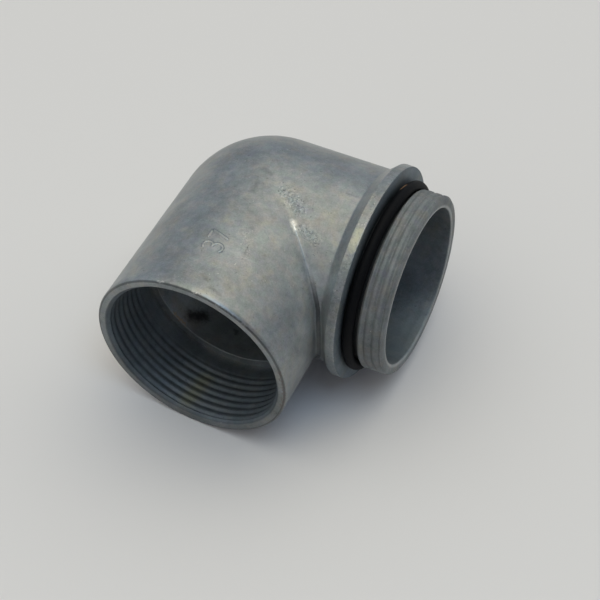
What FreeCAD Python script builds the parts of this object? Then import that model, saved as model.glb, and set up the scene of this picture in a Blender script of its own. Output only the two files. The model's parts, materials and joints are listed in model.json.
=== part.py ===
import FreeCAD, Part
import os
import Sketcher

# Conduit elbow, 90 degrees: one zinc casting and the rubber ring that seals it. Millimetres.
# The two legs are turned about axes that cross inside the corner. The finished part has its origin at the
# centre of the flange's sealing face: +X runs out along the spigot, the socket's mouth faces -Y, and +Z is up
# as the elbow lies on its side.

doc = FreeCAD.newDocument("conduit_elbow")

# Driving dimensions. A reach is measured from the crossing of the two axes.
DIMENSIONS = [
    ("thread_diameter", 37.0, "outside diameter of both conduit threads"),
    ("thread_depth", 0.75, "crest to root of the socket's thread"),
    ("thread_chamfer", 0.45, "bevel at each end of the spigot's thread"),
    ("leg_wall", 1.6, "wall of the legs outside the socket's thread"),
    ("mouth_reach", 34.8, "crossing to the socket's mouth"),
    ("socket_depth", 15.3, "mouth to the shoulder that stops the conduit"),
    ("lead_in_clearance", 0.1, "how far the lead-in cone opens outside the thread"),
    ("lead_in_depth", 0.9, "depth of the lead-in cone"),
    ("flange_gap", 2.0, "outside of the socket leg to the back of the flange's rim"),
    ("flange_rim", 1.9, "width of the rim"),
    ("flange_height", 1.9, "rim of the flange above the leg"),
    ("taper_root", 0.2, "how far inside the socket leg's outline the cone up to the rim starts"),
    ("spigot_length", 8.3, "sealing face to the spigot's end"),
    ("spigot_wall", 1.25, "wall between the seal groove and the passage"),
    ("groove_depth", 1.1, "thread's crests down to the floor of the seal groove"),
    ("seal_cord", 2.2, "thickness of the rubber ring"),
    ("seal_side_play", 0.8, "room beside the ring, across its groove"),
    ("seal_clearance", 0.1, "least gap between the ring and its groove"),
    ("crease_radius", 0.8, "casting's radius in the crease between the legs"),
    ("edge_break", 0.3, "small bevel on the casting's open edges"),
]

sheet = doc.addObject("Spreadsheet::Sheet", "sizes")
for row, (alias, size, meaning) in enumerate(DIMENSIONS, start=1):
    sheet.set(f"A{row}", meaning)
    sheet.set(f"B{row}", str(size))
    sheet.setAlias(f"B{row}", alias)
doc.recompute()

# Lengths that several outlines share, as expressions on the sheet.
THREAD_RADIUS = "sizes.thread_diameter / 2"
CORE_RADIUS = f"({THREAD_RADIUS} - sizes.thread_depth)"
LEG_RADIUS = f"({THREAD_RADIUS} + sizes.leg_wall)"
FLANGE_RADIUS = f"({LEG_RADIUS} + sizes.flange_height)"
SEAT_RADIUS = f"({THREAD_RADIUS} - sizes.groove_depth)"
PASSAGE_RADIUS = f"({SEAT_RADIUS} - sizes.spigot_wall)"
RING_RADIUS = f"({SEAT_RADIUS} + sizes.seal_clearance + sizes.seal_cord / 2)"
GROOVE_WIDTH = "(sizes.seal_cord + sizes.seal_side_play)"
RIM_REACH = f"({LEG_RADIUS} + sizes.flange_gap)"
FACE_REACH = f"({RIM_REACH} + sizes.flange_rim)"
SPIGOT_REACH = f"({FACE_REACH} + sizes.spigot_length)"

# Numbers by which a sketch knows its own origin, its two axes and the points of an edge.
POINT = {name: number for number, name in enumerate(("start", "end", "middle"), start=1)}
AXIS_LINE = {direction: -number for number, direction in enumerate(("DistanceY", "DistanceX"), start=1)}
CENTRE = (AXIS_LINE["DistanceY"], POINT["start"])


def sketch_on_xy(body, name):
    """Empty sketch on the plane that holds both axes of the elbow."""
    sketch = body.newObject("Sketcher::SketchObject", name)
    plane = next(feature for feature in body.Origin.OriginFeatures if feature.Role == "XY_Plane")
    sketch.AttachmentSupport = [(plane, "")]
    sketch.MapMode = "FlatFace"
    return sketch


def tie(sketch, edge, point, direction, expression):
    """Holds one coordinate of a point at a length from the sheet, or on the axis where it is zero."""
    length = sheet.evalExpression(expression)
    if length == 0:
        sketch.addConstraint(Sketcher.Constraint("PointOnObject", edge, point, AXIS_LINE[direction]))
        return
    ends = (*CENTRE, edge, point) if length > 0 else (edge, point, *CENTRE)
    index = sketch.addConstraint(Sketcher.Constraint(direction, *ends, abs(length)))
    sketch.setExpression(f"Constraints[{index}]", expression if length > 0 else f"-({expression})")


def outline(body, name, corners, round_edge=None):
    """Closed outline through corners given as expressions; round_edge is an arc about the axes' crossing."""
    sketch = sketch_on_xy(body, name)
    points = [FreeCAD.Vector(sheet.evalExpression(x), sheet.evalExpression(y), 0) for x, y in corners]
    for edge, start in enumerate(points):
        end = points[(edge + 1) % len(points)]
        if edge == round_edge:
            middle = (start + end).normalize() * start.Length
            sketch.addGeometry(Part.Arc(end, middle, start), False)
            sketch.addConstraint(Sketcher.Constraint("Coincident", edge, POINT["middle"], *CENTRE))
        else:
            sketch.addGeometry(Part.LineSegment(start, end), False)
    for edge, (x, y) in enumerate(corners):
        before = edge - 1 if edge else len(corners) - 1
        first = POINT["end"] if edge == round_edge else POINT["start"]
        last = POINT["start"] if before == round_edge else POINT["end"]
        sketch.addConstraint(Sketcher.Constraint("Coincident", before, last, edge, first))
        tie(sketch, edge, first, "DistanceY", y)
        if before != round_edge:
            tie(sketch, edge, first, "DistanceX", x)
    return sketch


def turn(body, kind, sketch, axis):
    """Turns an outline once round the sketch's own axis, adding or cutting."""
    feature = body.newObject(f"PartDesign::{kind}", f"{sketch.Name}_turned")
    feature.Profile = sketch
    feature.ReferenceAxis = (sketch, [axis])
    feature.Angle = 360
    doc.recompute()
    return feature


def slanting_edges(shape):
    """Names of a shape's edges that are neither lines nor circles."""
    names = []
    for number, edge in enumerate(shape.Edges, start=1):
        if not edge.Degenerated and edge.Curve.TypeId in ("Part::GeomEllipse", "Part::GeomBSplineCurve"):
            names.append(f"Edge{number}")
    return names


def make_elbow_body():
    body = doc.addObject("PartDesign::Body", "elbow_body")
    body.Label = "elbow_body"

    # Socket leg: a plain tube outside, closed by the round corner.
    socket_leg = outline(body, "socket_leg", [
        ("0", LEG_RADIUS),
        (LEG_RADIUS, "0"),
        (LEG_RADIUS, "-(sizes.mouth_reach - sizes.edge_break)"),
        (f"{LEG_RADIUS} - sizes.edge_break", "-sizes.mouth_reach"),
        ("0", "-sizes.mouth_reach"),
    ], round_edge=0)
    turn(body, "Revolution", socket_leg, "V_Axis")

    # Spigot leg: cone and rim of the flange, seal groove, and the thread's crests with a bevel at each end.
    spigot_leg = outline(body, "spigot_leg", [
        ("0", "0"),
        ("0", LEG_RADIUS),
        (f"{LEG_RADIUS} - sizes.taper_root", LEG_RADIUS),
        (RIM_REACH, FLANGE_RADIUS),
        (f"{FACE_REACH} - sizes.edge_break", FLANGE_RADIUS),
        (FACE_REACH, f"{FLANGE_RADIUS} - sizes.edge_break"),
        (FACE_REACH, SEAT_RADIUS),
        (f"{FACE_REACH} + {GROOVE_WIDTH}", SEAT_RADIUS),
        (f"{FACE_REACH} + {GROOVE_WIDTH}", f"{THREAD_RADIUS} - sizes.thread_chamfer"),
        (f"{FACE_REACH} + {GROOVE_WIDTH} + sizes.thread_chamfer", THREAD_RADIUS),
        (f"{SPIGOT_REACH} - sizes.thread_chamfer", THREAD_RADIUS),
        (SPIGOT_REACH, f"{THREAD_RADIUS} - sizes.thread_chamfer"),
        (SPIGOT_REACH, "0"),
    ])
    legs = turn(body, "Revolution", spigot_leg, "H_Axis")

    # Crease: the only slanting edges are those where the two legs meet, and the casting is rounded there.
    crease = body.newObject("PartDesign::Fillet", "crease")
    crease.Base = (legs, slanting_edges(legs.Shape))
    crease.setExpression("Radius", "sizes.crease_radius")
    doc.recompute()
    uncut = crease.Shape.Volume

    # Socket bore: lead-in, thread crests, shoulder, then the passage with its round corner.
    socket_bore = outline(body, "socket_bore", [
        ("0", PASSAGE_RADIUS),
        (PASSAGE_RADIUS, "0"),
        (PASSAGE_RADIUS, "-(sizes.mouth_reach - sizes.socket_depth)"),
        (CORE_RADIUS, "-(sizes.mouth_reach - sizes.socket_depth)"),
        (CORE_RADIUS, "-(sizes.mouth_reach - sizes.lead_in_depth)"),
        (f"{THREAD_RADIUS} + sizes.lead_in_clearance", "-sizes.mouth_reach"),
        ("0", "-sizes.mouth_reach"),
    ], round_edge=0)
    after_socket = turn(body, "Groove", socket_bore, "V_Axis").Shape.Volume

    # Spigot bore: the same passage, out to the spigot's end.
    spigot_bore = outline(body, "spigot_bore", [
        ("0", "0"),
        ("0", PASSAGE_RADIUS),
        (f"{SPIGOT_REACH} - sizes.edge_break", PASSAGE_RADIUS),
        (SPIGOT_REACH, f"{PASSAGE_RADIUS} + sizes.edge_break"),
        (SPIGOT_REACH, "0"),
    ])
    after_spigot = turn(body, "Groove", spigot_bore, "H_Axis").Shape.Volume
    if not uncut > after_socket > after_spigot:
        raise RuntimeError("a bore of the elbow cut nothing")

    body.setExpression("Placement.Base.x", f"-{FACE_REACH}")
    return body


def make_o_ring():
    body = doc.addObject("PartDesign::Body", "o_ring")
    body.Label = "o_ring"
    section = sketch_on_xy(body, "ring_section")
    section.addGeometry(Part.Circle(), False)
    section.addConstraint(Sketcher.Constraint("PointOnObject", 0, POINT["middle"], AXIS_LINE["DistanceX"]))
    tie(section, 0, POINT["middle"], "DistanceY", RING_RADIUS)
    width = section.addConstraint(Sketcher.Constraint("Diameter", 0, sheet.seal_cord))
    section.setExpression(f"Constraints[{width}]", "sizes.seal_cord")
    turn(body, "Revolution", section, "H_Axis")

    # The ring lies loose in its groove, and leans across it as far as the side play allows.
    body.Placement = FreeCAD.Placement(FreeCAD.Vector(), FreeCAD.Rotation(FreeCAD.Vector(0, 1, -1), 1))
    body.setExpression("Placement.Base.x", f"{GROOVE_WIDTH} / 2")
    body.setExpression(
        "Placement.Rotation.Angle",
        f"atan((sizes.seal_side_play - 2 * sizes.seal_clearance) / (2 * {RING_RADIUS} + sizes.seal_cord))",
    )
    return body


sub_parts = [make_elbow_body(), make_o_ring()]
doc.recompute()

for thing in doc.Objects:
    if {"Invalid", "Error"} & set(thing.State):
        raise RuntimeError(f"{thing.Name} failed: {thing.State}")
for part in sub_parts:
    if part.Shape.isNull() or not part.Shape.isValid():
        raise RuntimeError(f"{part.Label} has no valid shape")

os.makedirs("parts", exist_ok=True)
for part in sub_parts:
    part.Shape.exportStep(f"parts/{part.Label}.step")
    print(part.Label, round(part.Shape.Volume, 2), "mm3", part.Shape.BoundBox)
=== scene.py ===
import json
import math

import bmesh
import bpy
import numpy as np
from mathutils import Matrix, Vector


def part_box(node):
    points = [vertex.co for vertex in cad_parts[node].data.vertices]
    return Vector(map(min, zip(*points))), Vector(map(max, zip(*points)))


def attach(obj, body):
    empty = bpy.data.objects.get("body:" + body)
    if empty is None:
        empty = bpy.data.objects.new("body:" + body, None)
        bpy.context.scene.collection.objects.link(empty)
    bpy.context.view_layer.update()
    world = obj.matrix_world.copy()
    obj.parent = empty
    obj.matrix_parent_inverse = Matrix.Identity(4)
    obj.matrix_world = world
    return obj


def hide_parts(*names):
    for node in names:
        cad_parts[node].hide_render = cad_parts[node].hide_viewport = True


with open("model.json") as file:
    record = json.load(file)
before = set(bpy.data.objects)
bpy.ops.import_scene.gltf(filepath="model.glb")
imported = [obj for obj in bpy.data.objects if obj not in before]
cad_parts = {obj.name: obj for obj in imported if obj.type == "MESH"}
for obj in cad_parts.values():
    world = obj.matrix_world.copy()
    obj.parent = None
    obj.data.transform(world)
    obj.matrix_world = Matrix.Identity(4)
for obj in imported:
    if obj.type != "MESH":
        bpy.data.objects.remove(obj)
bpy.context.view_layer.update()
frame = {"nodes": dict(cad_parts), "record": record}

# Conduit elbow: a zinc casting with an inside and an outside thread, and the rubber ring that seals it.
# The shapes are worked out in millimetres from the point where the axes of the two legs cross.

MM = 0.001
MOUNTS = {mount["name"]: mount for mount in frame["record"]["mounts"]}
BODY_LOW, BODY_HIGH = (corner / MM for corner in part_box("elbow_body"))

# Sizes that the frame gives. A reach is a distance from the crossing along the axis of a leg.
CROSSING = Vector(MOUNTS["socket_thread"]["pos_m"]).x / MM
CROSSING_POINT = np.array([CROSSING, 0.0, 0.0])
THREAD_RADIUS = MOUNTS["spigot_thread"]["dims"]["r_mm"]
CORE_RADIUS = MOUNTS["socket_thread"]["dims"]["r_mm"]
PASSAGE_RADIUS = MOUNTS["cable_passage"]["dims"]["r_mm"]
LEG_RADIUS = CROSSING - BODY_LOW.x
FLANGE_RADIUS = BODY_HIGH.z
MOUTH_REACH = -BODY_LOW.y
FACE_REACH = -CROSSING
SPIGOT_REACH = BODY_HIGH.x - CROSSING
SHOULDER_REACH = MOUNTS["socket_passage"]["dims"]["length_mm"]

# Sizes of the casting's details.
FLANGE_RIM = 1.9
TAPER_ROOT = 0.2
TAPER_BEND = 0.6
CREASE_RADIUS = 0.8
GROOVE_WIDTH = 3.0
SEAT_RADIUS = 17.4
THREAD_CHAMFER = 0.45
LEAD_IN_RADIUS = 18.6
LEAD_IN_DEPTH = 0.9
EDGE_BREAK = 0.3
SHARP_BEND = 0.12
SOFT_BEND = 0.2
CONE_START = LEG_RADIUS - TAPER_ROOT
RIM_REACH = FACE_REACH - FLANGE_RIM
THREAD_START = FACE_REACH + GROOVE_WIDTH

# The two threads. Crests and roots are shares of the pitch. The spigot's crest is set back from the
# sealing face at a turn from the thread's zero, and the socket's crest lies at zero.
THREAD_PITCH = 1.62
THREAD_OVERRUN = 1.0
SPIGOT_THREAD_DEPTH = 0.33
SPIGOT_CREST_SHARE = 0.35
SPIGOT_ROOT_SHARE = 0.04
SPIGOT_CREST_SETBACK = 3.28
SPIGOT_CREST_TURN = 129 / 360
SPIGOT_THREAD_MARGIN = 0.05
SPIGOT_RUN_OUT = 0.01
SOCKET_THREAD_DEPTH = 0.23
SOCKET_CREST_SHARE = 0.2
SOCKET_ROOT_SHARE = 0.12
SOCKET_CREST_REACH = 33.5
SOCKET_THREAD_SETBACK = 2.9
SOCKET_RUN_OUT = 1.2

# The size number: round strokes that are partly sunk into the wall of the socket leg.
NUMBER_HEIGHT = 3.9
NUMBER_STROKE = 1.0
NUMBER_SINK = 0.33
NUMBER_END_SINK = 0.66
NUMBER_REACH = 24.3
NUMBER_ANGLE = math.radians(90)
STROKE_FACETS = 3
STROKE_STEP = 0.08

# Fineness of the casting's mesh: columns round a leg, rows along a wall, and longest steps.
COLUMNS = 240
QUARTER = COLUMNS // 4
LEG_ROWS = 14
SOCKET_ROWS = 24
FILLET_ROWS = 6
PASSAGE_ROWS = 10
THREAD_STEP = 0.115
FLARE_STEP = 0.5
WALL_STEP = 1.6
MERGE_DISTANCE = 0.002
SHARP_EDGE = math.radians(50)
NEARLY_STRAIGHT = math.radians(89)
NEARLY_LEVEL = 1e-9
ANGLES = np.arange(COLUMNS) * 2 * math.pi / COLUMNS

# How much painted shade each inside wall takes, and over which depth that begins at a mouth.
THREAD_SHADE = 1.0
PASSAGE_SHADE = 0.40
BORE_SHADE = 0.6
SHOULDER_SHADE = 0.1
INSIDE_FADE = 0.3

# Colours of the zinc. The film's tints lie along a noise from its low to its high values.
FILM_TINTS = [(0.30, (0.256, 0.272, 0.298)), (0.42, (0.258, 0.288, 0.290)), (0.52, (0.280, 0.298, 0.302)),
              (0.62, (0.296, 0.304, 0.296)), (0.74, (0.312, 0.320, 0.288))]
# Bare metal, for pale specks, worn spots and the painted highlight in the crease.
BRIGHT_METAL = (0.86, 0.86, 0.82)
GREEN_CAST = (0.984, 1.008, 0.982)
PINK_CAST = (1.016, 0.992, 1.018)
# Painted shade, darker and bluer, inside the bores and passages.
INSIDE_PAINTED_SHADE = (0.46, 0.51, 0.56)
# Painted shade, darker and bluer, on the sealing face.
FACE_PAINTED_SHADE = (0.62, 0.69, 0.75)
METAL_SHARE = 0.72

# Noises of the zinc, as cells in a millimetre and levels of detail.
WANDER = (1.4, 3.0)
CLOUDS = (0.14, 5.0)
MOTTLE = (0.85, 6.0)
GRAIN = (3.2, 4.0)
TINT_PATCHES = (0.4, 5.0)
CAST_PATCHES = (0.6, 5.0)
WEAR_AND_HIGHLIGHT_PATCHES = (1.6, 4.0)
SPECKLE = (1.5, 3.0)
WAVES = (0.45, 3.0)
NOISE_MIDDLE = (0.5, 0.5, 0.5)
SPECKLE_MIDDLE = 0.44
CAST_RANGE = (0.35, 0.65)
WEAR_AND_HIGHLIGHT_RANGE = (0.25, 0.6)
SMEAR = 2.0

# Specks: cells in a millimetre, size in cells, and their share everywhere and more in rough places.
DARK_SPECKS = (2.2, 0.4, 0.04, 0.5)
PALE_SPECKS = (2.3, 0.36, 0.01, 0.45)
PALE_SPECKS_SHIFT = (31, 17, 5)
PALE_SPECK_SHARE = 0.4
SPECK_CORE = 0.1

# How much each noise adds to the zinc's tone, and the share of it that each darker place takes away. The
# mouth line, the mouth's lower part, the crease, its low part and the seal groove are painted shade; the
# specks and scuffs are marks; the thread skin, the rim and the whole mouth face are darker all over.
BASE_TONE = 0.075
CLOUD_TONE = 0.85
MOTTLE_TONE = 0.55
GRAIN_TONE = 0.45
SPECKLE_TONE = 1.6
DARK_SPECK_SHADE = 0.5
SCUFF_SHADE = 0.22
MOUTH_LINE_SHADE = 0.5
MOUTH_SHADE = 0.14
LOW_MOUTH_SHADE = 0.26
LOW_CREASE_SHADE = 0.72
CREASE_SHADE = 0.25
THREAD_SKIN_SHADE = 0.2
GROOVE_SHADE = 0.8
RIM_SHADE = 0.12

# Roughness of the zinc, and the heights of its relief in millimetres.
FILM_ROUGHNESS = 0.31
MOTTLE_ROUGHNESS = 0.14
WORN_POLISH = 0.4
DULL_ROUGHNESS = 0.22
THREAD_ROUGHNESS = 0.1
RIM_SPECKLE = 0.3
WAVE_HEIGHT = 0.07
MOTTLE_HEIGHT = 0.012
GRAIN_HEIGHT = 0.006
SPECKLE_HEIGHT = 0.28
PIT_DEPTH = 0.02

# Limits of the places on the zinc that have a finish or painted shade of their own, in millimetres.
PLACE_EDGE = 0.1
SPIGOT_SKIN_RADII = (16.5, 17.0)
# Radius out to which the painted shade in the seal groove fades.
PAINTED_GROOVE_SHADE_RADIUS = 19.6
FACE_EDGE = 0.05
CREASE_EDGE = 0.12
CREASE_START = 4.0
CREASE_STOP = LEG_RADIUS - 0.5
CREASE_FADE = 0.4
LOW_CREASE_RADII = (LEG_RADIUS + 0.2, LEG_RADIUS + CREASE_RADIUS)
LOW_CREASE_EDGE = 0.15
LOW_CREASE_REACH = (15.0, 19.0)
LOW_CREASE_HEIGHT = (13.0, 16.0)
RIM_RADII = (FLANGE_RADIUS - 0.4, FLANGE_RADIUS - 0.1)
MOUTH_FACE_REACH = (MOUTH_REACH - 0.4, MOUTH_REACH - 0.2)
MOUTH_LINE_RADII = (LEG_RADIUS - 0.4, LEG_RADIUS - 0.15)
MOUTH_LINE_EDGE = 0.12
LOW_MOUTH_DEPTH = (-6.0, 10.0)

# Marks: both ends of a line from the crossing, its half width, and its strength where that isn't 1.
ROUGH_PLACES = [((6.0, -4.6, 19.5), (10.2, -6.9, 18.8), 2.6, 1.0),
                ((12.2, -10.1, 17.3), (15.4, -11.3, 16.6), 1.8, 0.8),
                ((4.0, -17.5, 19.7), (6.5, -23.0, 19.0), 2.0, 0.45)]
# Painted light on the socket leg's side next to the crease.
CREASE_SIDE_PAINTED_LIGHT = ((15.6, -17.6, 12.7), (18.8, -23.5, 7.2), 6.2, 0.75)
SCUFFS = [((16.8, -0.5, 20.1), (19.6, -0.7, 20.1), 0.35),
          ((1.6, -30.2, 20.0), (3.0, -31.0, 19.9), 0.8),
          ((4.2, -32.2, 19.6), (6.3, -32.6, 19.1), 0.6),
          ((5.6, -20.2, 19.3), (6.0, -22.0, 19.2), 0.45),
          ((-0.3, -1.2, 20.1), (1.6, -2.0, 20.0), 0.8),
          ((0.2, -5.0, 20.0), (0.1, -7.6, 20.0), 0.8)]
# The first two are a painted highlight, with a smoother finish, at the top of the crease; the others are
# worn nicks on the mouth's outer edge.
WORN_SPOTS_AND_PAINTED_HIGHLIGHTS = [((9.8, -9.6, 17.6), (10.9, -10.5, 17.0), 1.0, 0.65),
              ((11.0, -10.6, 16.9), (12.4, -11.9, 15.9), 0.4, 0.2),
              ((6.5, -34.7, 18.9), (9.7, -34.7, 17.5), 0.3, 0.25),
              ((9.7, -34.7, 17.5), (12.7, -34.7, 15.5), 0.3, 0.25),
              ((-5.5, -34.7, 19.3), (-4.4, -34.7, 19.6), 0.4, 0.5),
              ((1.8, -34.7, 19.9), (2.6, -34.7, 19.8), 0.3, 0.4)]
STAINS_AND_PAINTED_LIGHT = [((-12.6, -19.2, -10.1), (-10.6, -19.2, -12.2), 0.6, 0.7, (0.30, 0.20, 0.10)),
          ((-13.5, -17.0, -8.9), (-9.0, -17.5, -13.4), 2.5, 0.35, (0.16, 0.12, 0.08)),
          ((-3.2, -32.5, -17.5), (-2.4, -26.3, -17.5), 2.8, 0.4, (0.21, 0.20, 0.09)),
          ((-8.6, -14.6, -13.6), (-10.4, -16.6, -12.4), 2.4, 0.95, (0.012, 0.011, 0.011)),
          ((-2.0, -13.7, -16.0), (-1.5, -14.2, -16.1), 0.8, 0.6, (0.03, 0.03, 0.03)),
          ((18.9, -34.8, 5.8), (19.7, -34.8, 0.3), 0.4, 0.7, (0.13, 0.10, 0.09)),
          ((19.7, -34.8, 0.3), (19.2, -34.8, -4.8), 0.4, 0.7, (0.13, 0.10, 0.09)),
          ((17.7, -34.8, -7.2), (18.1, -34.8, -7.3), 0.5, 0.9, (0.05, 0.05, 0.05)),
          # A painted highlight, yellowish, where the lamp catches the flange's rim.
          ((23.0, -8.9, 20.1), (23.0, -11.6, 18.7), 1.6, 0.6, (0.45, 0.46, 0.34)),
          # Painted light, lighter and bluer, on the floor of the spigot's bore.
          ((29.0, 1.5, -16.1), (29.5, -5.0, -15.3), 6.0, 0.4, (0.25, 0.33, 0.38))]

# Finish of the rubber ring, with a brown bit that sticks to it.
CLEAN_RUBBER = (0.0025, 0.003, 0.004)
DUSTY_RUBBER = (0.006, 0.006, 0.007)
RUBBER_GLOSS = 0.1
RUBBER_ROUGHNESS = 0.5
DUST = (1.6, 4.0)
DUST_RANGE = (0.45, 0.8)
DUST_ROUGHNESS = 0.2
DUST_HEIGHT = 0.01
BROWN_BIT = ((24.7, 6.6, 18.3), (24.9, 8.2, 17.7), 0.8)
BROWN_TINT = (0.40, 0.25, 0.15)
BROWN_PATCHES = (1.8, 3.0)
BROWN_RANGE = (0.25, 0.45)

# View. Places are in metres, the lens and the sensor in millimetres.
CAMERA_PLACE = (0.08847, -0.21010, 0.25767)
CAMERA_TARGET = (-0.01143, -0.01296, 0.0)
CAMERA_ROLL = math.radians(1.457)
CAMERA_LENS = 104.47
SENSOR_WIDTH = 36.0
NEAREST_VIEW = 0.01

# Floor. It leans, because the elbow lies on its socket leg and on the rim of its flange.
FLOOR_SIZE = 12.0
FLOOR_COLOUR = (0.738, 0.731, 0.727)
FLOOR_ROUGHNESS = 0.9
FLOOR_GLOSS = 0.2
LEAN_ROUNDS = 20

# Light. A flag shades one side of the room: its direction, the cosines where it begins and is whole,
# and its strength.
ROOM_COLOUR = (0.39, 0.45, 0.55)
SHADED_COLOUR = (0.14, 0.145, 0.18)
FLAGS = [((0.78, -0.46, 0.42), 0.4, 0.8, 1.0),
         ((-0.25, -0.93, 0.27), 0.6, 1.0, 0.45),
         ((-0.80, 0.58, -0.12), 0.8, 1.0, 0.35)]
CEILING_COLOUR = (1.82, 1.59, 1.11)
CEILING_SIDE = (0.30, -0.12, 0.945)
LAMP_SIDE = (0.30, -0.19, 0.935)
SOFTBOX_COLOUR = (0.51, 0.74, 1.0)
SOFTBOX_ENERGY = 1.45
SOFTBOX_SIZE = 0.5
SOFTBOX_DISTANCE = 1.0


class Value:
    """A socket of a node tree. Arithmetic on it adds Math nodes."""

    def __init__(self, nodes, socket):
        self.nodes = nodes
        self.socket = socket

    def math(self, operation, *others):
        inputs = dict(enumerate((self, *others)))
        return self.nodes.node("ShaderNodeMath", {"operation": operation}, inputs)

    def __add__(self, other):
        return self.math("ADD", other)

    def __sub__(self, other):
        return self.math("SUBTRACT", other)

    def __rsub__(self, other):
        return self.nodes.node("ShaderNodeMath", {"operation": "SUBTRACT"}, {0: other, 1: self})

    def __mul__(self, other):
        return self.math("MULTIPLY", other)

    def __truediv__(self, other):
        return self.math("DIVIDE", other)

    __radd__ = __add__
    __rmul__ = __mul__


class Nodes:
    """Builds one node tree. Every node comes from node(), by its type, its settings and its sockets."""

    def __init__(self, tree):
        self.tree = tree
        tree.nodes.clear()

    def node(self, kind, settings=None, sockets=None, output=0):
        node = self.tree.nodes.new(kind)
        for name, setting in (settings or {}).items():
            if name == "stops":
                self.set_stops(node.color_ramp, setting)
            else:
                setattr(node, name, setting)
        for name, value in (sockets or {}).items():
            if isinstance(value, Value):
                self.tree.links.new(value.socket, node.inputs[name])
            else:
                node.inputs[name].default_value = value
        return Value(self, node.outputs[output]) if len(node.outputs) else None

    @staticmethod
    def set_stops(ramp, stops):
        while len(ramp.elements) < len(stops):
            ramp.elements.new(1.0)
        for element, (position, colour) in zip(ramp.elements, stops):
            element.position = position
            element.color = (*colour, 1.0)

    def vector(self, operation, *inputs, output=0):
        return self.node("ShaderNodeVectorMath", {"operation": operation}, dict(enumerate(inputs)), output)

    def dot(self, first, second):
        return self.vector("DOT_PRODUCT", first, second, output="Value")

    def scaled(self, vector, factor):
        return self.node("ShaderNodeVectorMath", {"operation": "SCALE"}, {0: vector, "Scale": factor})

    def mix(self, factor, first, second):
        """Colour between two others."""
        colours = {name: colour if isinstance(colour, Value) else (*colour, 1.0)
                   for name, colour in (("A", first), ("B", second))}
        return self.node("ShaderNodeMix", {"data_type": "RGBA"}, {"Factor": factor, **colours}, "Result")

    def noise(self, vector, scale, detail, output="Fac"):
        sockets = {"Vector": vector, "Scale": scale, "Detail": detail}
        return self.node("ShaderNodeTexNoise", {}, sockets, output)

    def smooth(self, value, low, high):
        """0 below low, 1 above high, and an even rise between."""
        sockets = {"Value": value, "From Min": low, "From Max": high}
        return self.node("ShaderNodeMapRange", {"interpolation_type": "SMOOTHSTEP"}, sockets)

    def straight(self, value, low, high):
        """0 below low, 1 above high, and a straight line between."""
        return self.node("ShaderNodeMapRange", {}, {"Value": value, "From Min": low, "From Max": high})

    def band(self, value, low, high, soft):
        """1 from low to high, with soft edges outside them."""
        return self.smooth(value, low - soft, low) * (1 - self.smooth(value, high, high + soft))


def link_object(name, data):
    """A new object of the scene that shows a mesh, curve, lamp or camera."""
    thing = bpy.data.objects.new(name, data)
    bpy.context.scene.collection.objects.link(thing)
    return thing


def plain_mesh(thing):
    """The mesh that an object's curve or modifiers give."""
    graph = bpy.context.evaluated_depsgraph_get()
    return bpy.data.meshes.new_from_object(thing.evaluated_get(graph), depsgraph=graph)


def close_seams(mesh):
    """Joins the edges where parts of a mesh meet, and turns all faces outward."""
    edit = bmesh.new()
    edit.from_mesh(mesh)
    bmesh.ops.remove_doubles(edit, verts=edit.verts, dist=MERGE_DISTANCE * MM)
    bmesh.ops.dissolve_degenerate(edit, edges=edit.edges, dist=MERGE_DISTANCE * MM)
    bmesh.ops.recalc_face_normals(edit, faces=edit.faces)
    edit.to_mesh(mesh)
    edit.free()


def on_spigot(along, radius, angle):
    """Points at a distance along the spigot's axis; angles turn from +Y to +Z."""
    along, radius, angle = np.broadcast_arrays(along, radius, angle)
    return np.stack([along, radius * np.cos(angle), radius * np.sin(angle)], -1)


def on_socket(along, radius, angle):
    """Points at a distance along the socket's axis, out of its mouth; angles turn from +X to +Z."""
    along, radius, angle = np.broadcast_arrays(along, radius, angle)
    return np.stack([radius * np.cos(angle), -along, radius * np.sin(angle)], -1)


def rounded(corners, steps=5):
    """Profile through corners of (along, radius, bend), with each bend drawn as an arc."""
    points = [np.array(corner[:2], float) for corner in corners]
    bends = [corner[2] for corner in corners[1:]]
    profile = [points[0]]
    for before, corner, after, bend in zip(points, points[1:], points[2:], bends):
        back = (before - corner) / np.linalg.norm(before - corner)
        ahead = (after - corner) / np.linalg.norm(after - corner)
        half = math.acos(np.clip(back @ ahead, -1, 1)) / 2
        if bend == 0 or half > NEARLY_STRAIGHT:
            profile.append(corner)
            continue
        middle = (back + ahead) / np.linalg.norm(back + ahead)
        centre = corner + middle * bend / math.sin(half)
        first = corner + back * bend / math.tan(half) - centre
        last = corner + ahead * bend / math.tan(half) - centre
        sweep = math.pi - 2 * half
        for step in range(steps + 1):
            share = step / steps
            spoke = first * math.sin((1 - share) * sweep) + last * math.sin(share * sweep)
            profile.append(centre + spoke / math.sin(sweep))
    profile.append(points[-1])
    return profile


def divided(profile, step):
    """The same profile with long stretches cut into shorter ones."""
    fine = [profile[0]]
    for start, end in zip(profile, profile[1:]):
        pieces = max(1, math.ceil(np.linalg.norm(end - start) / step))
        fine.extend(start + (end - start) * piece / pieces for piece in range(1, pieces + 1))
    return np.array(fine)


def row_shares(rows):
    """How far along a wall each row's edges are, from 0 to 1, as a column."""
    return np.linspace(0, 1, rows + 1)[:, None]


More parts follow.
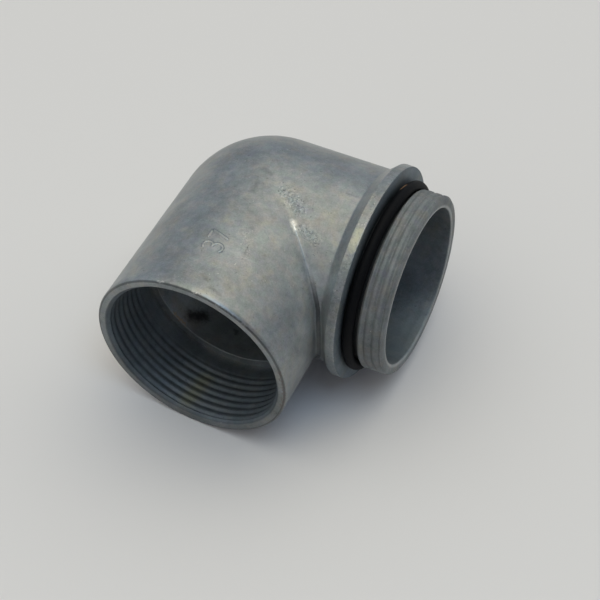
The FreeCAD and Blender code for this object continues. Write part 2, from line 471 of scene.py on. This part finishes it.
class Patches:
    """Collects grids of points and makes one closed mesh of them."""

    def __init__(self):
        self.points = []
        self.faces = []
        self.inside = []

    def add(self, grid, closed=True, inside=0.0):
        rows, columns = grid.shape[:2]
        start = sum(len(points) for points in self.points)
        index = start + np.arange(rows * columns).reshape(rows, columns)
        if closed:
            index = np.concatenate([index, index[:, :1]], axis=1)
        corners = [index[:-1, :-1], index[:-1, 1:], index[1:, 1:], index[1:, :-1]]
        self.faces.append(np.stack([corner.ravel() for corner in corners], -1))
        self.points.append(grid.reshape(-1, 3))
        self.inside.append(np.broadcast_to(inside, (rows, columns)).ravel())

    def mesh(self, name):
        points = np.concatenate(self.points) + CROSSING_POINT
        faces = np.concatenate(self.faces)
        mesh = bpy.data.meshes.new(name)
        mesh.from_pydata((points * MM).tolist(), [], faces.tolist())
        # The inside attribute carries how much painted shade each point takes.
        shade = mesh.attributes.new("inside", "FLOAT", "POINT")
        shade.data.foreach_set("value", np.concatenate(self.inside).astype(np.float32))
        close_seams(mesh)
        return mesh


def rolling_ball(angle):
    """Where a ball of the crease's radius touches both legs, for angles on the spigot's lower half.

    Returns the point on the spigot as (along, radius), the ball's centre and the point on the socket."""
    reach = LEG_RADIUS + CREASE_RADIUS
    depth, height = -np.cos(angle), np.sin(angle)
    slope = math.atan2(FLANGE_RADIUS - LEG_RADIUS, RIM_REACH - CONE_START)

    along, radius = reach * depth, np.full_like(angle, reach)
    touch_along, touch_radius = along.copy(), np.full_like(angle, LEG_RADIUS)
    on_cone = along > CONE_START - CREASE_RADIUS * math.tan(slope / 2)
    rise = math.tan(slope)
    base = LEG_RADIUS - CONE_START * rise + CREASE_RADIUS / math.cos(slope)
    # On the cone, the centre's place along the axis is the larger root of a x^2 + 2 b x + c.
    a = 1 + (height * rise) ** 2
    b = height ** 2 * base * rise
    c = (height * base) ** 2 - reach ** 2
    cone_along = (-b + np.sqrt(b * b - a * c)) / a
    along = np.where(on_cone, cone_along, along)
    radius = np.where(on_cone, base + rise * cone_along, radius)
    touch_along = np.where(on_cone, along + CREASE_RADIUS * math.sin(slope), touch_along)
    touch_radius = np.where(on_cone, radius - CREASE_RADIUS * math.cos(slope), touch_radius)

    centre = on_spigot(along, radius, angle)
    on_leg = centre * np.array([LEG_RADIUS / reach, 1, LEG_RADIUS / reach])
    return touch_along, touch_radius, centre, on_leg


def flange_cone():
    """Profile of the spigot leg where it flares out to the flange's rim."""
    corners = [(0, LEG_RADIUS, 0), (CONE_START, LEG_RADIUS, TAPER_BEND), (RIM_REACH, FLANGE_RADIUS, 0)]
    return divided(rounded(corners)[1:], FLARE_STEP)


def round_corner(radius, longitudes):
    """Quarter ball between the two legs; its latitudes meet the columns of both."""
    latitude = np.linspace(-math.pi / 2, math.pi / 2, 2 * QUARTER + 1)[None, :]
    longitude = np.linspace(0, math.pi / 2, longitudes + 1)[:, None]
    level = radius * np.cos(latitude)
    height = radius * np.sin(latitude) + 0 * longitude
    return np.stack([-level * np.sin(longitude), level * np.cos(longitude), height], -1)


def passage_wall(on_leg, crease):
    """Bore of one leg, from the passage's radius along the axis to its crease with the other bore."""
    along = PASSAGE_RADIUS + (np.maximum(0, crease) - PASSAGE_RADIUS) * row_shares(PASSAGE_ROWS)
    return on_leg(along, PASSAGE_RADIUS, ANGLES)


def add_outside(patches):
    """Skin of both legs, the fillet in their crease and the round corner."""
    lower = np.cos(ANGLES) < -NEARLY_LEVEL
    touch_along, touch_radius, centre, on_leg = rolling_ball(ANGLES)
    start_along = np.where(lower, touch_along, 0)
    start_radius = np.where(lower, touch_radius, LEG_RADIUS)

    flare = flange_cone()[:-1]
    flare_start = flare[0][0]
    leg = start_along + (np.maximum(flare_start, start_along) - start_along) * row_shares(LEG_ROWS)
    rows = [on_spigot(leg, np.where(leg > flare_start, start_radius, LEG_RADIUS), ANGLES)]
    for along, radius in flare[1:]:
        covered = start_along > along
        row_along = np.where(covered, start_along, along)
        row_radius = np.where(covered, start_radius, radius)
        rows.append(on_spigot(row_along, row_radius, ANGLES)[None])
    patches.add(np.concatenate(rows))

    # The socket leg's columns start at the crease and turn to even angles on their way to the mouth.
    facing = (math.pi - ANGLES) % (2 * math.pi)
    order = np.argsort(facing)
    start = np.where(lower[:, None], on_leg, on_socket(0, LEG_RADIUS, math.pi - ANGLES))[order]
    start_angle = np.arctan2(start[:, 2], start[:, 0]) % (2 * math.pi)
    turn = (start_angle - ANGLES + math.pi) % (2 * math.pi) - math.pi
    mouth = MOUTH_REACH - EDGE_BREAK
    share = row_shares(SOCKET_ROWS)
    reach = -start[:, 1] + (mouth + start[:, 1]) * share
    patches.add(on_socket(reach, LEG_RADIUS, ANGLES + turn * (1 - share)))

    fillet = np.flatnonzero(np.cos(ANGLES) < NEARLY_LEVEL)
    spigot_side = (on_spigot(start_along, start_radius, ANGLES) - centre)[fillet] / CREASE_RADIUS
    socket_side = (on_leg - centre)[fillet] / CREASE_RADIUS
    share = row_shares(FILLET_ROWS)[..., None]
    spokes = spigot_side * (1 - share) + socket_side * share
    spokes /= np.linalg.norm(spokes, axis=-1, keepdims=True)
    patches.add(centre[fillet] + CREASE_RADIUS * spokes, closed=False)
    patches.add(round_corner(LEG_RADIUS, QUARTER), closed=False)


def add_spigot_end(patches):
    """Rim, sealing face, seal groove, the blank of the outside thread, and the bore behind it."""
    chamfer_radius = THREAD_RADIUS - THREAD_CHAMFER
    flange = rounded([
        (*flange_cone()[-2], 0),
        (RIM_REACH, FLANGE_RADIUS, SHARP_BEND),
        (FACE_REACH, FLANGE_RADIUS, SOFT_BEND),
        (FACE_REACH, SEAT_RADIUS, 0),
        (THREAD_START, SEAT_RADIUS, 0),
        (THREAD_START, chamfer_radius, 0),
    ])
    blank = rounded([
        (THREAD_START, chamfer_radius, 0),
        (THREAD_START + THREAD_CHAMFER, THREAD_RADIUS, 0),
        (SPIGOT_REACH - THREAD_CHAMFER, THREAD_RADIUS, 0),
        (SPIGOT_REACH, chamfer_radius, 0),
    ])
    bore = rounded([
        (SPIGOT_REACH, chamfer_radius, 0),
        (SPIGOT_REACH, PASSAGE_RADIUS, EDGE_BREAK),
        (PASSAGE_RADIUS, PASSAGE_RADIUS, 0),
    ])
    profile = np.concatenate([
        divided(flange, WALL_STEP),
        divided(blank, THREAD_STEP)[1:],
        divided(bore, WALL_STEP)[1:],
    ])
    along, radius = profile[:, :1], profile[:, 1:]
    # Painted shade in the bore, growing over INSIDE_FADE from the bore's mouth.
    depth = (SPIGOT_REACH - along) * (radius < PASSAGE_RADIUS + SHARP_BEND)
    shade = BORE_SHADE * np.clip(depth / INSIDE_FADE, 0, 1)
    patches.add(on_spigot(along, radius, ANGLES), inside=shade)
    patches.add(passage_wall(on_spigot, -PASSAGE_RADIUS * np.cos(ANGLES)), inside=PASSAGE_SHADE)


def add_socket_end(patches):
    """Mouth, lead-in, the inside thread's blank, the shoulder, and the passage with its round corner."""
    thread_end = SHOULDER_REACH + WALL_STEP
    mouth = rounded([
        (MOUTH_REACH - EDGE_BREAK, LEG_RADIUS, 0),
        (MOUTH_REACH, LEG_RADIUS - EDGE_BREAK, SHARP_BEND),
        (MOUTH_REACH, LEAD_IN_RADIUS, SHARP_BEND),
        (MOUTH_REACH - LEAD_IN_DEPTH, CORE_RADIUS, 0),
    ])
    blank = [mouth[-1], np.array((thread_end, CORE_RADIUS), float)]
    passage = rounded([
        (thread_end, CORE_RADIUS, 0),
        (SHOULDER_REACH, CORE_RADIUS, 0),
        (SHOULDER_REACH, PASSAGE_RADIUS, SHARP_BEND),
        (PASSAGE_RADIUS, PASSAGE_RADIUS, 0),
    ])
    profile = np.concatenate([
        divided(mouth[:-1], WALL_STEP),
        divided(mouth[-2:], THREAD_STEP)[1:],
        divided(blank, THREAD_STEP)[1:],
        divided(passage, WALL_STEP)[1:],
    ])
    along, radius = profile[:, :1], profile[:, 1:]
    # Painted shade in the socket: full on the thread, less in the passage and little on the shoulder's
    # face, growing in from the lead-in.
    depth = (MOUTH_REACH - along) * (radius < LEAD_IN_RADIUS)
    beyond = np.clip((thread_end - along) / WALL_STEP, 0, 1)
    shade = (THREAD_SHADE + (PASSAGE_SHADE - THREAD_SHADE) * beyond) * np.clip(depth / INSIDE_FADE, 0, 1)
    shade[np.abs(along - SHOULDER_REACH) < SHARP_BEND] = SHOULDER_SHADE
    patches.add(on_socket(along, radius, ANGLES), inside=shade)
    patches.add(passage_wall(on_socket, PASSAGE_RADIUS * np.cos(ANGLES)), inside=PASSAGE_SHADE)
    patches.add(round_corner(PASSAGE_RADIUS, QUARTER // 2), closed=False, inside=PASSAGE_SHADE)


def thread_tree():
    """Geometry Nodes that cut a right-hand thread into the round wall between two ends."""
    tree = bpy.data.node_groups.new("conduit_thread", "GeometryNodeTree")
    tree.interface.new_socket("Geometry", in_out="OUTPUT", socket_type="NodeSocketGeometry")
    kinds = {
        "Geometry": "Geometry", "Origin": "Vector", "Along": "Vector", "Zero": "Vector", "Side": "Float",
        "Crest Radius": "Float", "Depth": "Float", "Pitch": "Float", "First Crest": "Float",
        "Crest Share": "Float", "Root Share": "Float", "Start": "Float", "End": "Float", "Run Out": "Float",
        "Material": "Material",
    }
    for name, kind in kinds.items():
        tree.interface.new_socket(name, in_out="INPUT", socket_type=f"NodeSocket{kind}")
    nodes = Nodes(tree)
    given = {name: nodes.node("NodeGroupInput", output=name) for name in kinds}

    from_origin = nodes.vector("SUBTRACT", nodes.node("GeometryNodeInputPosition"), given["Origin"])
    along = nodes.dot(from_origin, given["Along"])
    outward = nodes.vector("SUBTRACT", from_origin, nodes.scaled(given["Along"], along))
    radius = nodes.vector("LENGTH", outward, output="Value")
    quarter = nodes.vector("CROSS_PRODUCT", given["Along"], given["Zero"])
    turn = nodes.dot(outward, quarter).math("ARCTAN2", nodes.dot(outward, given["Zero"])) / (2 * math.pi)

    from_crest = ((along - given["First Crest"]) / given["Pitch"] - turn + 0.5).math("FRACT") - 0.5
    valley = nodes.straight(from_crest.math("ABSOLUTE") * 2, given["Crest Share"], 1 - given["Root Share"])
    fade_in = nodes.smooth(along, given["Start"], given["Start"] + given["Run Out"])
    fade_out = nodes.smooth(given["End"] - along, 0.0, given["Run Out"])
    wall = given["Crest Radius"] - given["Side"] * given["Depth"] * valley * fade_in * fade_out
    cut = (radius * given["Side"]).math("MINIMUM", wall * given["Side"]) * given["Side"]
    moved = nodes.scaled(nodes.vector("NORMALIZE", outward), cut - radius)
    inside = along.math("GREATER_THAN", given["Start"]) * along.math("LESS_THAN", given["End"])
    threaded = nodes.node("GeometryNodeSetPosition", {},
                          {"Geometry": given["Geometry"], "Selection": inside, "Offset": moved})
    real = nodes.node("GeometryNodeRealizeInstances", {}, {"Geometry": threaded})
    dressed = nodes.node("GeometryNodeSetMaterial", {}, {"Geometry": real, "Material": given["Material"]})
    nodes.node("NodeGroupOutput", {}, {"Geometry": dressed})
    return tree


def cut_threads(piece, tree, threads):
    """Runs the thread tree once for each thread and keeps the result as a plain mesh."""
    for name, sizes in threads.items():
        modifier = piece.modifiers.new(name, "NODES")
        modifier.node_group = tree
        for socket in tree.interface.items_tree:
            if socket.in_out == "INPUT" and socket.name in sizes:
                modifier[socket.identifier] = sizes[socket.name]
    threaded = plain_mesh(piece)
    piece.modifiers.clear()
    piece.data = threaded


def make_casting(zinc):
    """The elbow's one casting, with both threads cut into its blank."""
    patches = Patches()
    add_outside(patches)
    add_spigot_end(patches)
    add_socket_end(patches)
    casting = link_object("threaded_casting", patches.mesh("threaded_casting"))

    spigot_crest = FACE_REACH + SPIGOT_CREST_SETBACK - THREAD_PITCH * SPIGOT_CREST_TURN
    shared = {"Origin": (CROSSING_POINT * MM).tolist(), "Pitch": THREAD_PITCH * MM, "Material": zinc}
    outside = {
        **shared, "Along": (1.0, 0.0, 0.0), "Zero": (0.0, 1.0, 0.0), "Side": 1.0,
        "Crest Radius": THREAD_RADIUS * MM, "Depth": SPIGOT_THREAD_DEPTH * MM,
        "First Crest": spigot_crest * MM,
        "Crest Share": SPIGOT_CREST_SHARE, "Root Share": SPIGOT_ROOT_SHARE,
        "Start": (THREAD_START - SPIGOT_THREAD_MARGIN) * MM, "End": (SPIGOT_REACH + THREAD_OVERRUN) * MM,
        "Run Out": SPIGOT_RUN_OUT * MM,
    }
    inside = {
        **shared, "Along": (0.0, -1.0, 0.0), "Zero": (1.0, 0.0, 0.0), "Side": -1.0,
        "Crest Radius": CORE_RADIUS * MM, "Depth": SOCKET_THREAD_DEPTH * MM,
        "First Crest": SOCKET_CREST_REACH * MM,
        "Crest Share": SOCKET_CREST_SHARE, "Root Share": SOCKET_ROOT_SHARE,
        "Start": (SHOULDER_REACH + SOCKET_THREAD_SETBACK) * MM, "End": (MOUTH_REACH + THREAD_OVERRUN) * MM,
        "Run Out": SOCKET_RUN_OUT * MM,
    }
    cut_threads(casting, thread_tree(), {"spigot_thread": outside, "socket_thread": inside})
    casting.data.shade_smooth()
    casting.data.set_sharp_from_angle(angle=SHARP_EDGE)
    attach(casting, "root")
    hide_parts("elbow_body")


def number_strokes():
    """The figures 3 and 7 as strokes of (across, up) points, in shares of their height."""
    def arc(middle, radius, first, last, steps=14):
        angles = np.radians(np.linspace(first, last, steps))
        return np.stack([middle[0] + radius * np.cos(angles), middle[1] + radius * np.sin(angles)], -1)
    three = [arc((0.25, 0.76), 0.24, 155, -105), arc((0.25, 0.27), 0.27, 105, -155)]
    seven = divided(rounded([(0.70, 1.0, 0), (1.24, 1.0, 0.06), (0.94, 0.0, 0)]), STROKE_STEP)
    return [*three, seven]


def make_size_number(zinc):
    """The conduit's size in millimetres, cast in low relief along the top of the socket leg."""
    curve = bpy.data.curves.new("size_number", "CURVE")
    curve.dimensions = "3D"
    curve.bevel_depth = NUMBER_STROKE / 2 * MM
    curve.bevel_resolution = STROKE_FACETS
    curve.use_fill_caps = True
    for stroke in number_strokes():
        across, up = stroke.T * NUMBER_HEIGHT
        bend = NUMBER_ANGLE + (up - NUMBER_HEIGHT / 2) / LEG_RADIUS
        sink = np.full(len(stroke), NUMBER_SINK)
        sink[[0, -1]] = NUMBER_END_SINK
        points = on_socket(NUMBER_REACH - across, LEG_RADIUS - sink, bend) + CROSSING_POINT
        spline = curve.splines.new("POLY")
        spline.points.add(len(points) - 1)
        for place, point in zip(spline.points, points):
            place.co = (*point * MM, 1.0)
    drawn = link_object("size_number_strokes", curve)
    mesh = plain_mesh(drawn)
    bpy.data.objects.remove(drawn)
    close_seams(mesh)
    number = link_object("size_number", mesh)
    mesh.materials.clear()
    mesh.materials.append(zinc)
    mesh.shade_smooth()
    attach(number, "root")


def new_material(name):
    """A material and the builder of its empty node tree."""
    material = bpy.data.materials.new(name)
    material.use_nodes = True
    return material, Nodes(material.node_tree)


def finish_material(nodes, sockets):
    """Ends a material's tree in its shader."""
    shader = nodes.node("ShaderNodeBsdfPrincipled", {}, sockets)
    nodes.node("ShaderNodeOutputMaterial", {}, {"Surface": shader})


def point_from_crossing(nodes):
    """Place of a surface point, in millimetres from the crossing."""
    place = nodes.node("ShaderNodeTexCoord", output="Object")
    return nodes.scaled(nodes.vector("SUBTRACT", place, (CROSSING_POINT * MM).tolist()), 1 / MM)


def relief(nodes, height):
    """Surface normal of a relief whose height is in millimetres."""
    return nodes.node("ShaderNodeBump", {}, {"Strength": 1.0, "Distance": MM, "Height": height})


def streak(nodes, point, start, end, width, strength=1.0):
    """A mark along a short line, which fades to 0 at its half width."""
    run = Vector(end) - Vector(start)
    from_start = nodes.vector("SUBTRACT", point, start)
    share = nodes.dot(from_start, run / run.length_squared)
    nearest = nodes.scaled(run, share.math("MAXIMUM", 0.0).math("MINIMUM", 1.0))
    distance = nodes.vector("DISTANCE", from_start, nearest, output="Value")
    return strength * (1 - nodes.smooth(distance, 0.0, width))


def streaks(nodes, point, marks):
    """Several streaks as one mask."""
    total = streak(nodes, point, *marks[0])
    for mark in marks[1:]:
        total = total.math("MAXIMUM", streak(nodes, point, *mark))
    return total


def specks(nodes, point, rough_place, scale, size, share, rough_share):
    """Dots in a random share of the cells of a loose grid, and in a larger share of rough places."""
    cells = {"Vector": point, "Scale": scale}
    distance = nodes.node("ShaderNodeTexVoronoi", {}, cells, "Distance")
    drawn = nodes.node("ShaderNodeTexVoronoi", {}, cells, "Color")
    chance = nodes.node("ShaderNodeSeparateColor", {}, {"Color": drawn}, "Red")
    chosen = chance.math("LESS_THAN", share + rough_share * rough_place)
    return (1 - nodes.smooth(distance, SPECK_CORE * size, size)) * chosen


def casting_places(nodes, point):
    """Masks of the casting's places that have a finish or painted shade of their own: 1 in the place, 0
    outside it.
    """
    x, y, z = (nodes.node("ShaderNodeSeparateXYZ", {}, {"Vector": point}, axis) for axis in "XYZ")
    reach = 0 - y
    socket_radius = (x * x + z * z).math("SQRT")
    spigot_radius = (y * y + z * z).math("SQRT")

    off_both_legs = socket_radius.math("MINIMUM", spigot_radius)
    crease = nodes.smooth(off_both_legs, LEG_RADIUS, LEG_RADIUS + CREASE_EDGE)
    low_crease = nodes.band(socket_radius, *LOW_CREASE_RADII, LOW_CREASE_EDGE)
    low_crease = low_crease * nodes.smooth(reach, *LOW_CREASE_REACH)
    skin = nodes.smooth(spigot_radius, *SPIGOT_SKIN_RADII)
    groove = skin * nodes.band(x, FACE_REACH, THREAD_START, PLACE_EDGE)
    rim = nodes.band(x, RIM_REACH, FACE_REACH, PLACE_EDGE)
    mouth = nodes.smooth(reach, *MOUTH_FACE_REACH)
    return {
        "inside": nodes.node("ShaderNodeAttribute", {"attribute_name": "inside"}, {}, "Fac"),
        # The crease and its low part take painted shade.
        "crease": crease * nodes.band(x, CREASE_START, CREASE_STOP, CREASE_FADE),
        "low_crease": low_crease * (1 - nodes.smooth(z, *LOW_CREASE_HEIGHT)),
        "thread": skin * nodes.smooth(x, THREAD_START - PLACE_EDGE, THREAD_START + PLACE_EDGE),
        "face": skin * nodes.band(x, FACE_REACH - FACE_EDGE, FACE_REACH + FACE_EDGE, FACE_EDGE),
        # Painted shade in the seal groove, deepest by the ring.
        "groove": groove * (1 - nodes.smooth(spigot_radius, SEAT_RADIUS, PAINTED_GROOVE_SHADE_RADIUS)),
        "rim": rim * nodes.smooth(spigot_radius, *RIM_RADII),
        # The mouth line and the mouth's lower part take painted shade.
        "mouth_line": mouth * nodes.band(socket_radius, *MOUTH_LINE_RADII, MOUTH_LINE_EDGE),
        "mouth": mouth,
        "low_mouth": mouth * nodes.smooth(0 - z, *LOW_MOUTH_DEPTH),
    }


def zinc_film(nodes, warped):
    """Colour of the film on the zinc: tints from blue grey to warm grey, with a green or pink cast."""
    warmth = nodes.noise(warped, *TINT_PATCHES)
    film = nodes.node("ShaderNodeValToRGB", {"stops": FILM_TINTS}, {"Fac": warmth})
    pinker = nodes.smooth(nodes.noise(warped, *CAST_PATCHES), *CAST_RANGE)
    return nodes.vector("MULTIPLY", film, nodes.mix(pinker, GREEN_CAST, PINK_CAST))


def make_zinc():
    """As-cast zinc: a mottled film in blue, green and warm greys, specks, worn edges and stains inside,
    with painted shade in the bores, crease, seal groove and mouth, and painted light and highlights by the
    crease, on the rim and in the bore.
    """
    material, nodes = new_material("cast_zinc_patina")
    point = point_from_crossing(nodes)
    places = casting_places(nodes, point)
    inside, face, thread = places["inside"], places["face"], places["thread"]
    drift = nodes.vector("SUBTRACT", nodes.noise(point, *WANDER, output="Color"), NOISE_MIDDLE)
    warped = nodes.vector("ADD", point, drift)
    smeared = nodes.vector("ADD", point, nodes.scaled(drift, SMEAR))
    mottle = nodes.noise(warped, *MOTTLE)
    grain = nodes.noise(point, *GRAIN)

    rough_place = streaks(nodes, point, ROUGH_PLACES).math("MAXIMUM", RIM_SPECKLE * places["rim"])
    speckle = rough_place * (nodes.noise(warped, *SPECKLE) - SPECKLE_MIDDLE)
    dark = specks(nodes, warped, rough_place, *DARK_SPECKS)
    pale = specks(nodes, nodes.vector("ADD", warped, PALE_SPECKS_SHIFT), rough_place, *PALE_SPECKS)
    wear_and_highlight = streaks(nodes, warped, WORN_SPOTS_AND_PAINTED_HIGHLIGHTS) * nodes.smooth(nodes.noise(point, *WEAR_AND_HIGHLIGHT_PATCHES), *WEAR_AND_HIGHLIGHT_RANGE)

    tone = BASE_TONE + CLOUD_TONE * nodes.noise(point, *CLOUDS) + MOTTLE_TONE * mottle
    tone = tone + GRAIN_TONE * grain + SPECKLE_TONE * speckle
    # Painted light on the socket leg's side next to the crease.
    tone = tone * (1 + streak(nodes, point, *CREASE_SIDE_PAINTED_LIGHT))
    shades = [
        DARK_SPECK_SHADE * dark,
        SCUFF_SHADE * streaks(nodes, warped, SCUFFS),
        # Painted shade along the mouth's outer edge.
        MOUTH_LINE_SHADE * places["mouth_line"],
        # The mouth's face darker all over, and painted shade growing towards its bottom.
        MOUTH_SHADE * places["mouth"] + LOW_MOUTH_SHADE * places["low_mouth"],
        # Painted shade in the crease's low part and along the crease.
        LOW_CREASE_SHADE * places["low_crease"],
        CREASE_SHADE * places["crease"],
        THREAD_SKIN_SHADE * thread,
        # Painted shade in the seal groove.
        GROOVE_SHADE * places["groove"],
        RIM_SHADE * places["rim"],
    ]
    for shade in shades:
        tone = tone * (1 - shade)

    base = nodes.scaled(zinc_film(nodes, warped), tone)
    # Painted shade inside the bores and passages.
    base = nodes.mix(inside, base, nodes.vector("MULTIPLY", base, INSIDE_PAINTED_SHADE))
    # Painted shade on the sealing face.
    base = nodes.mix(face, base, nodes.vector("MULTIPLY", base, FACE_PAINTED_SHADE))
    base = nodes.mix(PALE_SPECK_SHARE * pale * (1 - inside), base, BRIGHT_METAL)
    # Stains, a painted highlight on the flange's rim and painted light in the bore.
    for *mark, colour in STAINS_AND_PAINTED_LIGHT:
        base = nodes.mix(streak(nodes, smeared, *mark), base, colour)
    # Bare metal where the mouth's edge is worn, and a painted highlight in the crease.
    base = nodes.mix(wear_and_highlight, base, BRIGHT_METAL)

    dull = places["crease"].math("MAXIMUM", thread).math("MAXIMUM", inside).math("MAXIMUM", face)
    roughness = (FILM_ROUGHNESS + MOTTLE_ROUGHNESS * mottle) * (1 - WORN_POLISH * wear_and_highlight)
    roughness = roughness + DULL_ROUGHNESS * dull + THREAD_ROUGHNESS * thread
    height = WAVE_HEIGHT * nodes.noise(point, *WAVES) + MOTTLE_HEIGHT * mottle + GRAIN_HEIGHT * grain
    height = height + SPECKLE_HEIGHT * speckle - PIT_DEPTH * dark
    finish_material(nodes, {"Base Color": base, "Metallic": METAL_SHARE, "Roughness": roughness,
                            "Normal": relief(nodes, height)})
    return material


def make_rubber():
    """Dull black rubber with a little dust."""
    material, nodes = new_material("seal_rubber")
    point = point_from_crossing(nodes)
    dust = nodes.noise(point, *DUST)
    colour = nodes.mix(nodes.smooth(dust, *DUST_RANGE), CLEAN_RUBBER, DUSTY_RUBBER)
    broken_up = nodes.smooth(nodes.noise(point, *BROWN_PATCHES), *BROWN_RANGE)
    colour = nodes.mix(streak(nodes, point, *BROWN_BIT) * broken_up, colour, BROWN_TINT)
    roughness = RUBBER_ROUGHNESS + DUST_ROUGHNESS * dust
    finish_material(nodes, {"Base Color": colour, "Roughness": roughness,
                            "Specular IOR Level": RUBBER_GLOSS,
                            "Normal": relief(nodes, DUST_HEIGHT * dust)})
    return material


def dress_ring(rubber):
    """Gives the seal ring, which keeps its own solid, its rubber."""
    ring = frame["nodes"]["o_ring"]
    ring.data.materials.clear()
    ring.data.materials.append(rubber)


def make_floor():
    """A pale sheet that touches the socket leg and the rim of the flange from below."""
    lean = math.asin((FLANGE_RADIUS - LEG_RADIUS) / RIM_REACH)
    for _ in range(LEAN_ROUNDS):
        lean = math.asin((FLANGE_RADIUS * math.cos(lean) - LEG_RADIUS) / RIM_REACH)
    upward = Vector((math.sin(lean), 0, math.cos(lean)))
    touch = Vector(CROSSING_POINT) - upward * LEG_RADIUS
    half = FLOOR_SIZE / 2
    corners = [(-half, -half, 0), (half, -half, 0), (half, half, 0), (-half, half, 0)]
    mesh = bpy.data.meshes.new("floor")
    mesh.from_pydata(corners, [], [(0, 1, 2, 3)])
    floor = link_object("floor", mesh)
    floor.matrix_world = Matrix.Translation(touch * MM) @ Matrix.Rotation(lean, 4, "Y")
    material, nodes = new_material("pale_floor")
    finish_material(nodes, {"Base Color": (*FLOOR_COLOUR, 1), "Roughness": FLOOR_ROUGHNESS,
                            "Specular IOR Level": FLOOR_GLOSS})
    mesh.materials.append(material)


def aim_at(thing, place, target, roll=0.0):
    """Puts a lamp or camera at a place, looking at a target."""
    looking = (target - place).to_track_quat("-Z", "Y").to_matrix().to_4x4()
    thing.matrix_world = Matrix.Translation(place) @ looking @ Matrix.Rotation(roll, 4, "Z")


def make_room():
    """Soft light from all round, warmer and stronger from the ceiling and weaker behind the flags."""
    world = bpy.data.worlds.new("studio")
    bpy.context.scene.world = world
    world.use_nodes = True
    nodes = Nodes(world.node_tree)
    direction = nodes.node("ShaderNodeTexCoord", output="Generated")
    shaded = 0.0
    for side, low, high, strength in FLAGS:
        flag = strength * nodes.smooth(nodes.dot(direction, Vector(side).normalized()), low, high)
        shaded = flag.math("MAXIMUM", shaded)
    walls = nodes.mix(shaded, ROOM_COLOUR, SHADED_COLOUR)
    upward = nodes.dot(direction, Vector(CEILING_SIDE).normalized()).math("MAXIMUM", 0.0)
    ceiling = nodes.scaled(CEILING_COLOUR, upward * upward * (1 - shaded))
    background = nodes.node("ShaderNodeBackground", {}, {"Color": nodes.vector("ADD", walls, ceiling)})
    nodes.node("ShaderNodeOutputWorld", {}, {"Surface": background})


def make_softbox():
    """One round soft lamp overhead."""
    lamp = bpy.data.lights.new("softbox", "AREA")
    lamp.shape = "DISK"
    lamp.size = SOFTBOX_SIZE
    lamp.color = SOFTBOX_COLOUR
    lamp.energy = SOFTBOX_ENERGY
    middle = Vector(CAMERA_TARGET)
    place = middle + Vector(LAMP_SIDE).normalized() * SOFTBOX_DISTANCE
    aim_at(link_object("softbox", lamp), place, middle)


def make_camera():
    """The view from above the socket's mouth."""
    data = bpy.data.cameras.new("camera")
    data.sensor_width = SENSOR_WIDTH
    data.lens = CAMERA_LENS
    data.clip_start = NEAREST_VIEW
    camera = link_object("camera", data)
    aim_at(camera, Vector(CAMERA_PLACE), Vector(CAMERA_TARGET), -CAMERA_ROLL)
    bpy.context.scene.camera = camera


cast_zinc = make_zinc()
make_casting(cast_zinc)
make_size_number(cast_zinc)
dress_ring(make_rubber())
make_floor()
make_room()
make_softbox()
make_camera()
bpy.context.scene.view_settings.view_transform = "Standard"
